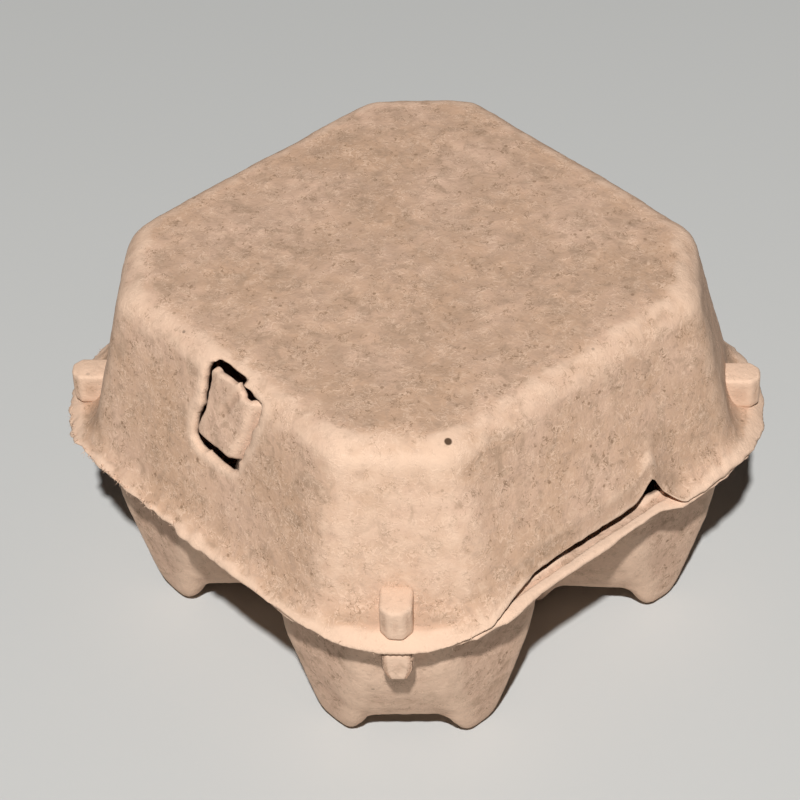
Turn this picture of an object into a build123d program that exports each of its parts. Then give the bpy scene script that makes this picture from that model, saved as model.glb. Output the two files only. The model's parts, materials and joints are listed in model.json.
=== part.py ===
from build123d import *
import os
from math import sqrt, tan, atan2, degrees, radians, sin, cos

# A four-cell egg carton moulded from paper pulp, closed.
# Units are millimetres. +Z is up, the feet stand on z = 0, and the origin is the
# middle of the footprint. The lock faces -Y and the lid is hinged along +Y.

# --- Driving dimensions -------------------------------------------------------------

pulp = 1.8                      # wall thickness of the moulding
flange_thickness = 1.6          # flanges are pressed a little thinner than the walls

flange_margin = 7.5             # flange outside the cups on every side
flange_corner_radius = 28.0
tray_height = 38.5              # floor to the face that the lid closes on
lid_height = 33.5               # closing face to the roof
closing_gap = 0.3               # between the two flanges

roof_set_back = 10.75           # roof inside the flange's edge on every side
roof_chamfer = 20.0             # width of a corner face of the lid along the roof
roof_edge_radius = 5.0
lid_corner_radius = 9.0         # upright corners between sides and corner faces
side_shelf = 2.5                # flange outside the lid's sides
corner_shelf = 6.0              # flange outside the lid's corner faces

cell_pitch = 47.0
cup_rim_width = 46.0
cup_rim_diagonal = 49.0
cup_belly_width = 43.0
cup_belly_diagonal = 44.0
cup_belly_height = 20.0
cup_base_width = 38.0
cup_base_diagonal = 33.5
cup_corner_radius = 5.0

deck_inset = 6.0                # the deck's ends inside the cups' outer edges

foot_height = 6.0
foot_spread = 28.0              # between opposite feet of one cup
foot_top_radius = 6.8
foot_pad_radius = 4.2
foot_wall = 1.6

post_height = 15.0              # centre post above the deck
post_base_width = 13.0
post_top_width = 7.5
post_wall = 1.6

lug_width = 5.6                 # the small columns and knobs at the four corners
lid_lug_height = 6.5
lid_lug_reach = 4.4             # how far a column stands out from the foot of the corner face
lid_lug_front = 2.2             # width of a column's flat front
tray_lug_height = 7.4
tray_lug_inset = 2.4            # knob face behind the flange's corner
tray_lug_chamfer = 1.2

lock_offset = 3.0               # the lock sits a little to the right of the middle
window_width = 15.0
window_height = 14.0
window_sill = 17.0              # closing face to the window's lower edge
button_clearance = 0.8
button_stand_out = 0.8          # button face proud of the lid's wall
tongue_thickness = 1.6
tongue_clearance = 0.4          # tongue to the inside of the lid's wall
tongue_base_width = 46.0
tongue_top_width = 36.0
tongue_head_room = 5.2          # tongue's end below the roof's top
tongue_corner_radius = 5.0
tongue_bead_radius = 0.75       # fold at the foot of the tongue
tongue_fold_gap = 0.3           # between the fold and the tongue that turns over it

pry_gap_length = 38.0           # lifted stretch of the lid's edge on the +X side
pry_gap_height = 3.4
pry_gap_peak = 6.6              # its small torn notch
pry_gap_peak_width = 9.0
pry_gap_centre = -3.0
pry_gap_peak_place = 10.5

hinge_length = 50.0
hinge_reach = 1.0               # hinge axis behind the flanges
hinge_bead_radius = 0.7
hinge_leaf_thickness = 1.1

# --- Derived sizes and places -------------------------------------------------------

root_two = sqrt(2)
flange_width = cell_pitch + cup_rim_width + 2 * flange_margin     # overall width and depth
flange_half = flange_width / 2
flange_diagonal = flange_half * root_two - flange_corner_radius * (root_two - 1)
closing_face = tray_height
lid_flange_base = closing_face + closing_gap
lid_flange_top = lid_flange_base + flange_thickness
roof_top = closing_face + lid_height

wall_foot_half = flange_half - side_shelf
wall_foot_diagonal = flange_diagonal - corner_shelf
roof_half = flange_half - roof_set_back
roof_diagonal = (2 * roof_half - roof_chamfer / root_two) / root_two
wall_lean = (wall_foot_half - roof_half) / (roof_top - lid_flange_base)

cell_offset = cell_pitch / 2
cell_centres = [(x, y) for x in (-cell_offset, cell_offset) for y in (-cell_offset, cell_offset)]
cell_names = {(-1, -1): "front_left", (1, -1): "front_right",
              (-1, 1): "rear_left", (1, 1): "rear_right"}

hinge_axis_y = flange_half + hinge_reach
hinge_axis_z = closing_face + closing_gap / 2


# --- Shapes -------------------------------------------------------------------------

def octagon(half, diagonal, corner_radius, z):
    """Eight-sided outline: half is centre to side, diagonal is centre to corner face."""
    side = root_two * diagonal - half
    corners = [(half, -side), (half, side), (side, half), (-side, half),
               (-half, side), (-half, -side), (-side, -half), (side, -half)]
    outline = make_face(Polyline(*corners, close=True))
    return Pos(0, 0, z) * fillet(outline.vertices(), corner_radius)


def lid_body(inset, base, top):
    """The lid's outer form moved inwards by inset and closed at both ends."""
    def half_at(z):
        return wall_foot_half - wall_lean * (z - lid_flange_base) - inset

    def diagonal_at(z):
        lean = (wall_foot_diagonal - roof_diagonal) / (roof_top - lid_flange_base)
        return wall_foot_diagonal - lean * (z - lid_flange_base) - inset

    radius = max(lid_corner_radius - inset, 0.5)
    sections = [octagon(half_at(z), diagonal_at(z), radius, z) for z in (base, top)]
    return loft(sections, ruled=True)


def round_top(solid, radius):
    """Round the edges of the highest face."""
    return fillet(solid.faces().sort_by(Axis.Z)[-1].edges(), radius)


def lid_shell():
    """Roof, sides and corner faces in one skin, open below."""
    outer = round_top(lid_body(0, lid_flange_base, roof_top), roof_edge_radius)
    hollow = lid_body(pulp, lid_flange_base - 1, roof_top - pulp)
    return outer - round_top(hollow, roof_edge_radius - pulp)


def flange_plate(base):
    """Solid plate with the outline of both flanges."""
    outline = RectangleRounded(flange_width, flange_width, flange_corner_radius)
    return Pos(0, 0, base) * extrude(outline, flange_thickness)


def lock_window():
    """Block that cuts the window through the lid's front wall."""
    reach = wall_foot_half - roof_half + 2 * pulp + roof_edge_radius
    block = Box(window_width, 2 * reach, window_height)
    block = fillet(block.edges().filter_by(Axis.Y), 2.0)
    return Pos(lock_offset, -wall_foot_half, closing_face + window_sill + window_height / 2) * block


def pry_gap():
    """Wedge under the lid's +X edge: a long lifted stretch with one small torn peak."""
    start = pry_gap_centre - pry_gap_length / 2
    end = pry_gap_centre + pry_gap_length / 2
    low = lid_flange_base - 1
    profile = [(start, low), (start + pry_gap_height, lid_flange_base),
               (pry_gap_peak_place - pry_gap_peak_width / 2, lid_flange_base + pry_gap_height),
               (pry_gap_peak_place, lid_flange_base + pry_gap_peak),
               (pry_gap_peak_place + pry_gap_peak_width / 2, lid_flange_base + pry_gap_height),
               (end + pry_gap_height, lid_flange_base), (end + pry_gap_height, low)]
    outline = make_face(Polyline(*[(0, y, z) for y, z in profile], close=True))
    depth = side_shelf + wall_lean * pry_gap_peak + 2 * pulp + 2
    return extrude(Pos(flange_half + 1 - depth, 0, 0) * outline, depth, dir=(1, 0, 0))


def roof_core():
    """Upright prism over the flat middle of the roof."""
    margin = roof_edge_radius
    flat = octagon(roof_half - margin, roof_diagonal - margin, lid_corner_radius - margin, roof_top)
    return extrude(flat, -2 * pulp)


def lid_lug():
    """Column at the +X corner of a lid turned by 45 degrees, buried in the corner face."""
    face = wall_foot_diagonal
    half = lug_width / 2
    flat = lid_lug_front / 2
    cheek = face + lid_lug_reach - (half - flat)
    front = face + lid_lug_reach
    outline = [(face - lid_lug_height, -half), (cheek, -half), (front, -flat),
               (front, flat), (cheek, half), (face - lid_lug_height, half)]
    return extrude(Pos(0, 0, lid_flange_top) * make_face(Polyline(*outline, close=True)), lid_lug_height)


def tray_lug():
    """Knob under the flange at the +X corner of a tray turned by 45 degrees, buried in the cup."""
    front = flange_diagonal - tray_lug_inset
    back = cell_offset * root_two + cup_belly_diagonal / 2 - pulp
    knob = Box(front - back, lug_width, tray_lug_height)
    knob = chamfer(knob.edges().filter_by(Axis.X), tray_lug_chamfer)
    return Pos((front + back) / 2, 0, closing_face - flange_thickness - tray_lug_height / 2) * knob


def at_corners(piece):
    """Four copies of a piece, one at each corner."""
    return [Rot(0, 0, 45 + 90 * turn) * piece for turn in range(4)]


def cup_body(inset):
    """A cup's outer form moved inwards by inset, centred on Z and closed at both ends."""
    levels = [(foot_height + inset, cup_base_width, cup_base_diagonal),
              (cup_belly_height, cup_belly_width, cup_belly_diagonal),
              (closing_face, cup_rim_width, cup_rim_diagonal)]
    radius = max(cup_corner_radius - inset, 0.5)
    sections = [octagon(width / 2 - inset, diagonal / 2 - inset, radius, z)
                for z, width, diagonal in levels]
    return loft(sections, ruled=True)


def foot(inset):
    """One foot of a cup, under its +X side: a blunt cone, or its hollow when inset."""
    height = foot_height + pulp
    taper = Cone(foot_pad_radius - inset, foot_top_radius - inset, height + inset)
    return Pos(foot_spread / 2, 0, height / 2 + inset / 2) * taper


def cup():
    """A cell: thin tapered cup on four hollow feet, centred on Z."""
    outer = cup_body(0)
    hollow = cup_body(pulp)
    for turn in range(4):
        outer += Rot(0, 0, 90 * turn) * foot(0) - hollow
    shell = outer - hollow
    for turn in range(4):
        shell -= Rot(0, 0, 90 * turn) * Pos(0, 0, foot_wall) * foot(foot_wall)
    return shell


def all_cups():
    """The outer forms of the cups in place, used to cut the deck."""
    return [Pos(x, y, 0) * cup_body(0) for x, y in cell_centres]


def tray_plate():
    """Flange and deck together, open over every cup."""
    return flange_plate(closing_face - flange_thickness).cut(*all_cups())


def deck_block():
    """Cross-shaped block over the ridges between the cups."""
    reach = cell_pitch + cup_rim_width - 2 * deck_inset
    height = 4 * flange_thickness
    return Pos(0, 0, closing_face) * (Box(cell_pitch, reach, height) + Box(reach, cell_pitch, height))


def post_form(inset, base, top):
    """The centre post's four-sided form moved inwards by inset, closed at both ends."""
    sections = [Pos(0, 0, z) * Rot(0, 0, 45) * RectangleRounded(w, w, w / 5)
                for w, z in ((post_base_width - 2 * inset, base), (post_top_width - 2 * inset, top))]
    return loft(sections, ruled=True)


def post_hollow():
    """Inside of the post, open below through the deck."""
    well = extrude(Rot(0, 0, 45) * Rectangle(post_base_width - 2 * post_wall, post_base_width - 2 * post_wall),
                   closing_face)
    return well + post_form(post_wall, closing_face, closing_face + post_height - post_wall)


def centre_post():
    """Hollow post on the deck between the cups."""
    return post_form(0, closing_face, closing_face + post_height) - post_hollow()


def leaning_plate(outline, offset, thickness):
    """A flat outline in X and height stood parallel to the lid's front wall.

    offset is measured inwards from the wall's outer face, square to it.
    """
    lean = degrees(atan2(wall_lean, 1))
    plate = extrude(outline, thickness)
    upright = Pos(0, offset + thickness, 0) * Rot(90, 0, 0) * plate
    return Pos(0, -wall_foot_half, lid_flange_base) * Rot(-lean, 0, 0) * upright


def tongue():
    """The lock tongue: a panel that stands behind the lid's front wall."""
    slope = sqrt(1 + wall_lean ** 2)
    above_fold = 2 * tongue_bead_radius + tongue_fold_gap - closing_gap
    foot_level = above_fold * slope + (tongue_offset() + tongue_thickness) * wall_lean
    top_level = (roof_top - tongue_head_room - lid_flange_base) * slope
    outline = make_face(Polyline((-tongue_base_width / 2, foot_level), (tongue_base_width / 2, foot_level),
                                 (tongue_top_width / 2, top_level), (-tongue_top_width / 2, top_level),
                                 close=True))
    upper = outline.vertices().sort_by(Axis.Y)[-2:]
    outline = fillet(upper, tongue_corner_radius)
    return leaning_plate(outline, tongue_offset(), tongue_thickness)


def tongue_offset():
    """From the lid wall's outer face to the tongue, square to the wall."""
    slope = sqrt(1 + wall_lean ** 2)
    return pulp / slope + tongue_clearance


def button():
    """The raised button on the tongue, which fills the window."""
    slope = sqrt(1 + wall_lean ** 2)
    gap = button_clearance
    outline = RectangleRounded(window_width - 2 * gap, window_height * slope - 2 * gap, 2.5)
    middle = (window_sill + window_height / 2 - closing_gap) * slope
    outline = Pos(lock_offset, middle) * outline
    thickness = tongue_offset() + button_stand_out
    return leaning_plate(outline, -button_stand_out, thickness)


def tongue_bead(radius, length):
    """Rod along the fold that the tongue turns on, on the tray's flange."""
    rod = Rot(0, 90, 0) * Cylinder(radius, length)
    return Pos(0, tongue_axis_y(), closing_face + tongue_bead_radius) * rod


def tongue_axis_y():
    """Middle of the fold, in line with the middle of the tongue."""
    slope = sqrt(1 + wall_lean ** 2)
    inwards = (tongue_offset() + tongue_thickness / 2) * slope
    return -wall_foot_half + inwards + wall_lean * (tongue_bead_radius - closing_gap)


def rear_hinge():
    """The living hinge: a leaf off the tray's flange and the bead that it folds along."""
    bead = Pos(0, hinge_axis_y, hinge_axis_z) * Rot(0, 90, 0) * Cylinder(hinge_bead_radius, hinge_length)
    leaf = Pos(0, flange_half + hinge_reach / 2, hinge_axis_z - hinge_leaf_thickness / 2 - 0.1)
    leaf = leaf * Box(hinge_length, hinge_reach, hinge_leaf_thickness)
    return bead + leaf


# --- Pieces -------------------------------------------------------------------------

def make_parts():
    parts = {}
    for x, y in cell_centres:
        name = cell_names[(1 if x > 0 else -1, 1 if y > 0 else -1)]
        parts["cup_" + name] = Pos(x, y, 0) * cup()
    plate = tray_plate()
    parts["tray_flange"] = plate - deck_block()
    parts["tray_deck"] = (plate & deck_block()) - post_hollow()
    parts["centre_post"] = centre_post()
    forms = all_cups()
    parts["tray_corner_lugs"] = [lug.cut(*forms) for lug in at_corners(tray_lug())]
    parts["rear_hinge"] = rear_hinge()
    parts["tongue_fold"] = tongue_bead(tongue_bead_radius, tongue_base_width)
    parts["lock_tongue"] = tongue()
    parts["lock_button"] = button()

    shell = lid_shell()
    core = roof_core()
    parts["lid_roof"] = shell & core
    parts["lid_walls"] = shell - core - lock_window() - pry_gap()
    hollow = lid_body(pulp, lid_flange_base - 1, roof_top - pulp)
    skirt = flange_plate(lid_flange_base) - lid_body(0, lid_flange_base - 1, roof_top) - hollow
    parts["lid_flange"] = skirt - pry_gap()
    form = lid_body(0, lid_flange_base, roof_top)
    parts["lid_corner_lugs"] = [lug - form for lug in at_corners(lid_lug())]
    return parts


os.makedirs("parts", exist_ok=True)
for node, shape in make_parts().items():
    if isinstance(shape, list):
        shape = Compound(children=shape)
    export_step(shape, "parts/" + node + ".step")
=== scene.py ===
import json
import random
from math import atan, atan2, cos, exp, hypot, log, pi, radians, sin, sqrt

import bmesh
import bpy
from bpy.props import FloatProperty, FloatVectorProperty, IntProperty, PointerProperty
from mathutils import Matrix, Vector, noise


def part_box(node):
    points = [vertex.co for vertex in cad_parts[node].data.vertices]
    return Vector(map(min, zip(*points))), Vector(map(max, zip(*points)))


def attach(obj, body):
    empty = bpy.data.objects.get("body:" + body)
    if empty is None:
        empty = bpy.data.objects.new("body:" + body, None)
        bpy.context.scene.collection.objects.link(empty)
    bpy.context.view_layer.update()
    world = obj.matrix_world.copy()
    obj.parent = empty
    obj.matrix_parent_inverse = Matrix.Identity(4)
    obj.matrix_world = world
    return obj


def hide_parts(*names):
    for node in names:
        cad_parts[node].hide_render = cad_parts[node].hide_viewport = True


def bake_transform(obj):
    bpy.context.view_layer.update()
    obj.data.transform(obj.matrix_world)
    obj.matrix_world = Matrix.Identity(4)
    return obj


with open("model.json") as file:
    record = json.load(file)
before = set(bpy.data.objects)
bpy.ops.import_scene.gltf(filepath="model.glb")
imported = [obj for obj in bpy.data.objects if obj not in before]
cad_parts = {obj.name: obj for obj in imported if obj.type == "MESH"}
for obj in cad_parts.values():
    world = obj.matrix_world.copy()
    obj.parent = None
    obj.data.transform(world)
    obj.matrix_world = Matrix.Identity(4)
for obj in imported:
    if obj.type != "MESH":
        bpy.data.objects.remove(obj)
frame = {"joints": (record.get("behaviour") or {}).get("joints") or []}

bl_info = {
    "name": "Moulded pulp egg carton",
    "version": (1, 0, 0),
    "blender": (4, 5, 0),
    "location": "View3D > Sidebar > Carton",
    "description": "Skins, torn edges and pulp finish for a four-cell egg carton",
    "category": "Add Mesh",
}

# Lengths in the modelling functions are millimetres; a finished piece is scaled to metres.
MM = 0.001
ROOT_TWO = sqrt(2)
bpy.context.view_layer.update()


def node_box(name):
    """A CAD node's lowest and highest corners in millimetres."""
    low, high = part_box(name)
    return Vector(low) / MM, Vector(high) / MM


def joint_place(name):
    """A joint's pivot in millimetres."""
    joint = next(j for j in frame["joints"] if j["name"] == name)
    return Vector(joint["pos_m"]) / MM


# Places that the CAD model fixes
FLANGE_HALF = node_box("tray_flange")[1].x
TRAY_UNDER = node_box("tray_flange")[0].z
CLOSING_FACE = node_box("tray_flange")[1].z
LID_UNDER = node_box("lid_flange")[0].z
LID_FLANGE_TOP = node_box("lid_flange")[1].z
ROOF_TOP = node_box("lid_roof")[1].z
WALL_FOOT_HALF = node_box("lid_walls")[1].x
CUP_LOW, CUP_HIGH = node_box("cup_front_right")
CELL_OFFSET = (CUP_LOW.x + CUP_HIGH.x) / 2
CUP_RIM_HALF = (CUP_HIGH.x - CUP_LOW.x) / 2
POST_TOP = node_box("centre_post")[1].z
LID_LUG_TOP = node_box("lid_corner_lugs")[1].z
TRAY_LUG_UNDER = node_box("tray_corner_lugs")[0].z
BUTTON_LOW, BUTTON_HIGH = node_box("lock_button")
TONGUE_HIGH = node_box("lock_tongue")[1]
HINGE_LOW, HINGE_HIGH = node_box("rear_hinge")
HINGE_AXIS = joint_place("lid_hinge")
TONGUE_AXIS = joint_place("lock_press")

# Places and sizes that several pieces share, in millimetres
RIGHT_SIDE = 40          # beyond this x the lid's edge has sprung up and the cups' rims change
HINGE_FADE = (44, 49)    # the y over which the flanges change towards the hinge
TRAY_INSET = 1.3         # how far the tray's edge lies inside the lid's
WALL_FILLET = 2.4        # height over which the lid's walls run out into the flange
LUG_WIDTH = 5.6          # a corner lug's width across its diagonal
DECK_ROOM = 3            # how far a cutter passes the tray's plate above and below
LID_SPECKS = (((40.7, -28.1, 71.2), 0.85), ((-9.4, -36.8, 71.0), 0.5))    # place and radius

# How far each slot's colour leans to the lighter pink pulp; the tray's larger lean is partly its pinker pulp
# and partly painted light that makes the cups read as better lit
SLOT_WARMTH = {"lid_pulp": 0.0, "tray_pulp": 0.3, "lock_pulp": 0.12}

# Segments around a lofted piece
FLANGE_STEPS = 384
CUP_STEPS = 128
CUP_HOLE_STEPS = 96
POST_STEPS = 64
POST_HOLE_STEPS = 48


# --- Sizes and colours a user would change ---

def length(name, description, default):
    """A length property; defaults are written in millimetres."""
    return FloatProperty(name=name, description=description, default=default * MM, unit="LENGTH")


def colour(name, description, default):
    return FloatVectorProperty(name=name, description=description, default=default,
                               subtype="COLOR", size=3, min=0, max=1)


class CartonSizes(bpy.types.PropertyGroup):
    pulp: length("Pulp thickness", "Thickness of the moulded walls", 1.8)
    flange_corner: length("Flange corner radius", "Rounding of the flanges' four corners", 28)
    roof_edge: length("Roof edge radius", "Rounding between the roof and the walls", 5)
    lid_corner: length("Lid corner radius", "Rounding between sides and corner faces", 9)
    roof_chamfer: length("Corner face width", "Width of a corner face along the roof", 20.5)
    corner_shelf: length("Corner shelf", "Flange outside the lid's corner faces", 6)
    droop: FloatProperty(name="Flange droop", description="Fall of the flanges for each unit outwards",
                         default=0.25)
    lifted_edge: length("Lifted edge", "How far the lid's right edge has sprung up", 4.2)
    torn_peak: length("Torn peak", "Height of the notch torn in the lifted edge", 3.4)
    lid_grid: length("Lid grid", "Grid size of the lid's skin", 0.7)
    tray_grid: length("Tray grid", "Grid size of the tray's skin", 0.88)
    lock_grid: length("Lock grid", "Grid size of the lock's skin", 0.4)
    lump: length("Lump height", "Height of the slow waves in the pulp", 0.3)
    grain: length("Grain height", "Height of the fine lumps in the pulp", 0.1)
    rag: length("Edge raggedness", "How far the flange edges wander", 0.5)
    fibres: IntProperty(name="Loose fibres", description="Fibres that stand off the edges", default=420)


class CartonColours(bpy.types.PropertyGroup):
    pulp: colour("Pulp", "Main colour of the pulp", (0.51, 0.326, 0.215))
    pink: colour("Pink pulp", "Warmer, lighter pulp", (0.61, 0.406, 0.292))
    # grey also paints shade in hollows and on the roof
    grey: colour("Grey pulp", "Darker blotches in the pulp", (0.385, 0.255, 0.172))
    # pale also paints highlights on ridges, lips and corner faces, besides rubbed wear
    pale: colour("Pale fibres", "Light fibres and rubbed ridges", (0.74, 0.525, 0.385))
    brown: colour("Brown fibres", "Dark fibres", (0.24, 0.145, 0.085))
    speck: colour("Specks", "Bits of bark and ink", (0.06, 0.035, 0.02))
    floor: colour("Floor", "Plain pale floor", (0.53, 0.53, 0.515))


# --- Shape helpers ---

def ease(low, high, value):
    """0 below low, 1 above high and a smooth step between."""
    share = min(max((value - low) / (high - low), 0), 1)
    return share * share * (3 - 2 * share)


def hump(centre, width, value):
    """1 at centre, falling to nothing about two widths away."""
    return exp(-((value - centre) / width) ** 2)


def ripple(*place):
    """Smooth noise between -1 and 1."""
    return noise.noise(Vector(place))


def octagon_reach(angle, half, diagonal, corner):
    """Distance from the middle to a rounded eight-sided outline, in one direction."""
    vertex = hypot(half, ROOT_TWO * diagonal - half)
    sharpness = log(2) / -log(1 - corner * (1 / cos(pi / 8) - 1) / vertex)
    total = 0
    for side in range(8):
        distance = half if side % 2 == 0 else diagonal
        total += (max(cos(angle - side * pi / 4), 0) / distance) ** sharpness
    return total ** (-1 / sharpness)


def flange_edge(co, corner):
    """Distance outside the flanges' outline, negative within it."""
    straight = FLANGE_HALF - corner
    over_x, over_y = abs(co.x) - straight, abs(co.y) - straight
    return hypot(max(over_x, 0), max(over_y, 0)) + min(max(over_x, over_y), 0) - corner


def flange_diagonal(corner):
    """Half diagonal of the flanges' outline."""
    return FLANGE_HALF * ROOT_TWO - corner * (ROOT_TWO - 1)


def along_hinge(co):
    """1 where the flanges run into the living hinge and 0 away from it."""
    behind = ease(*HINGE_FADE, co.y)
    beside = ease(HINGE_HIGH.x, HINGE_HIGH.x + 5, abs(co.x))
    return behind * (1 - beside)


def outside_walls(co, diagonal):
    """Distance outside the foot of the lid's walls, negative within it."""
    return max(abs(co.x) - WALL_FOOT_HALF, abs(co.y) - WALL_FOOT_HALF,
               (abs(co.x) + abs(co.y)) / ROOT_TWO - diagonal)


def between(rings, steps):
    """More rings on a smooth curve through the given ones."""
    made = []
    for place in range(len(rings) - 1):
        before, start = rings[max(place - 1, 0)], rings[place]
        end, after = rings[place + 1], rings[min(place + 2, len(rings) - 1)]
        for step in range(steps):
            t = step / steps
            made.append([0.5 * (2 * b + (c - a) * t + (2 * a - 5 * b + 4 * c - d) * t * t
                                + (3 * b - a - 3 * c + d) * t ** 3)
                         for a, b, c, d in zip(before, start, end, after)])
    return made + [list(rings[-1])]


def extrude_line(bm, edges):
    """Extrude connected edges in place; returns the new points and edges."""
    made = bmesh.ops.extrude_edge_only(bm, edges=edges)["geom"]
    verts = [item for item in made if isinstance(item, bmesh.types.BMVert)]
    fresh = set(verts)
    edges = [item for item in made if isinstance(item, bmesh.types.BMEdge) and fresh.issuperset(item.verts)]
    return verts, edges


def loft(bm, rings, count, middle=(0, 0), cap_first=False, cap_last=False):
    """Extrude a circle from ring to ring.

    A ring is half width, half diagonal, corner radius, height at the sides and height at
    the diagonals.
    """
    verts = bmesh.ops.create_circle(bm, segments=count, radius=1)["verts"]
    half_step = Matrix.Rotation(pi / count, 3, "Z")
    bmesh.ops.rotate(bm, verts=verts, cent=(0, 0, 0), matrix=half_step)
    bmesh.ops.translate(bm, verts=verts, vec=(middle[0], middle[1], 0))
    edges = list({edge for vert in verts for edge in vert.link_edges})
    for number, (half, diagonal, corner, side_height, diagonal_height) in enumerate(rings):
        if number:
            verts, edges = extrude_line(bm, edges)
        for vert in verts:
            angle = atan2(vert.co.y - middle[1], vert.co.x - middle[0])
            reach = octagon_reach(angle, half, diagonal, corner)
            share = ease(0, 0.6, (1 - cos(4 * angle)) / 2)
            height = side_height + (diagonal_height - side_height) * share
            vert.co = (middle[0] + reach * cos(angle), middle[1] + reach * sin(angle), height)
        if (number == 0 and cap_first) or (number == len(rings) - 1 and cap_last):
            bmesh.ops.contextual_create(bm, geom=edges)


def level(half, diagonal, corner, height):
    """A ring that lies flat."""
    return half, diagonal, corner, height, height


# --- Object helpers ---

def to_object(name, bm):
    """Put a bmesh into a new object in the scene."""
    mesh = bpy.data.meshes.new(name)
    bm.to_mesh(mesh)
    bm.free()
    piece = bpy.data.objects.new(name, mesh)
    bpy.context.scene.collection.objects.link(piece)
    return piece


def oriented_object(name, bm):
    """Let a shape's faces agree on which side is out and put it into a new object."""
    bmesh.ops.recalc_face_normals(bm, faces=bm.faces)
    return to_object(name, bm)


def point_outwards(bm, side=1):
    """Point an open sheet's faces outwards, judged by its highest face, or its lowest with side -1."""
    bmesh.ops.recalc_face_normals(bm, faces=bm.faces)
    end = max(bm.faces, key=lambda face: side * face.calc_center_median().z)
    if side * end.normal.z < 0:
        bmesh.ops.reverse_faces(bm, faces=bm.faces)


def prism(name, outline, low, high, count, middle=(0, 0)):
    """A closed upright block; its outline is half width, half diagonal and corner radius."""
    bm = bmesh.new()
    loft(bm, [level(*outline, low), level(*outline, high)], count, middle, cap_first=True, cap_last=True)
    return oriented_object(name, bm)


def bake(piece):
    """Replace a piece's mesh by what its modifiers make of it."""
    graph = bpy.context.evaluated_depsgraph_get()
    mesh = bpy.data.meshes.new_from_object(piece.evaluated_get(graph))
    old = piece.data
    piece.modifiers.clear()
    piece.data = mesh
    mesh.name = piece.name
    bpy.data.meshes.remove(old)


def thicken(piece, thickness, even=True):
    """Give a sheet whose faces point outwards a wall on its inner side."""
    wall = piece.modifiers.new("wall", "SOLIDIFY")
    wall.thickness = thickness
    wall.offset = -1
    wall.use_even_offset = even
    bake(piece)


def cut(piece, cutter):
    """Take a closed shape out of a piece."""
    hole = piece.modifiers.new("cut", "BOOLEAN")
    hole.operation = "DIFFERENCE"
    hole.solver = "EXACT"
    hole.object = cutter
    bake(piece)
    bpy.data.objects.remove(cutter)


def one_skin(name, pieces, grid):
    """Merge overlapping closed pieces into one skin on an even grid."""
    bm = bmesh.new()
    for piece in pieces:
        bm.from_mesh(piece.data)
        bpy.data.objects.remove(piece)
    skin = to_object(name, bm)
    remesh = skin.modifiers.new("skin", "REMESH")
    remesh.mode = "VOXEL"
    remesh.voxel_size = grid
    bake(skin)
    return skin


def open_mesh(piece):
    bm = bmesh.new()
    bm.from_mesh(piece.data)
    return bm


def relax(bm, rounds):
    """Smooth away the grid's steps."""
    for _ in range(rounds):
        bmesh.ops.smooth_vert(bm, verts=bm.verts, factor=0.5, use_axis_x=True, use_axis_y=True,
                              use_axis_z=True)


def roughen(bm, sizes, seed, share=1.0):
    """Slow waves and fine lumps, as wet pulp leaves them."""
    shift = Vector((seed * 31.7, seed * 17.3, seed * 11.9))
    lump, grain = sizes.lump / MM * share, sizes.grain / MM * share
    bm.normal_update()
    for vert in bm.verts:
        place = vert.co + shift
        height = lump * noise.fractal(place / 14, 1.0, 2.1, 2)
        height += grain * noise.fractal(place / 2.6, 0.9, 2.2, 3)
        vert.co += vert.normal * height


def fray(bm, sizes, seed):
    """Let the flanges' outer edges wander in and out, except along the hinge."""
    shift = Vector((seed * 13.1, seed * 7.7, 0))
    corner, rag = sizes.flange_corner / MM, sizes.rag / MM
    for vert in bm.verts:
        near = ease(-3.0, -0.4, flange_edge(vert.co, corner))
        near *= 1 - along_hinge(vert.co)
        if near > 0:
            place = vert.co + shift
            front = ease(-35, -48, vert.co.y) * (1 - ease(0, 25, vert.co.x))
            chips = (0.5 + 0.9 * front) * noise.noise(place / 1.5) * (0.6 + noise.noise(place / 7))
            wander = noise.noise(place / 6) + chips
            vert.co.z += 0.3 * near * (0.3 + front) * noise.fractal(place / 3.3 + shift, 0.7, 2.3, 3)
            outwards = Vector((vert.co.x, vert.co.y, 0)).normalized()
            vert.co += outwards * rag * near * wander


def mark_rubbed_and_painted_light(bm, corner):
    """Store a tone per point: pale on ridges and lips, partly rubbed wear and partly painted highlight;
    painted lighter on corner faces and painted darker on the roof, as the light falls on them; painted shade
    in hollows.
    """
    bm.normal_update()
    layer = bm.verts.layers.float.new("rubbed_and_painted_light")
    stand = []
    for vert in bm.verts:
        around = [edge.other_vert(vert).co for edge in vert.link_edges]
        middle = sum(around, Vector()) / len(around)
        stand.append((vert.co - middle).dot(vert.normal))
    for _ in range(4):
        stand = [(stand[vert.index] + sum(stand[edge.other_vert(vert).index] for edge in vert.link_edges))
                 / (1 + len(vert.link_edges)) for vert in bm.verts]
    # painted light: hollows get painted shade, ridges a painted highlight that also stands for rubbed wear,
    # corner faces are painted lighter and the roof darker as the light falls on them
    for vert, value in zip(bm.verts, stand):
        corner_face = ease(0.9, 1.25, 2 * min(abs(vert.normal.x), abs(vert.normal.y)))
        roof = ease(0.90, 0.985, vert.normal.z) * ease(ROOF_TOP - 4, ROOF_TOP - 1, vert.co.z)
        ridge = max(-1, min(1, value / 0.022))
        lip = ease(-4.5, -0.8, flange_edge(vert.co, corner)) * ease(TRAY_UNDER, LID_UNDER, vert.co.z)
        lip *= 1 - ease(LID_UNDER + 4, LID_UNDER + 8, vert.co.z)
        corner_face = max(corner_face, 1.1 * lip)
        vert[layer] = max(-1, min(1, 0.75 * ridge + 0.45 * corner_face - 0.5 * roof * (1 - max(ridge, 0))))


def pulp(slot):
    """The pulp finish of one slot, made once."""
    name = slot + "_finish"
    colours = bpy.context.scene.carton_colours
    return bpy.data.materials.get(name) or pulp_finish(name, colours, SLOT_WARMTH[slot])


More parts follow.
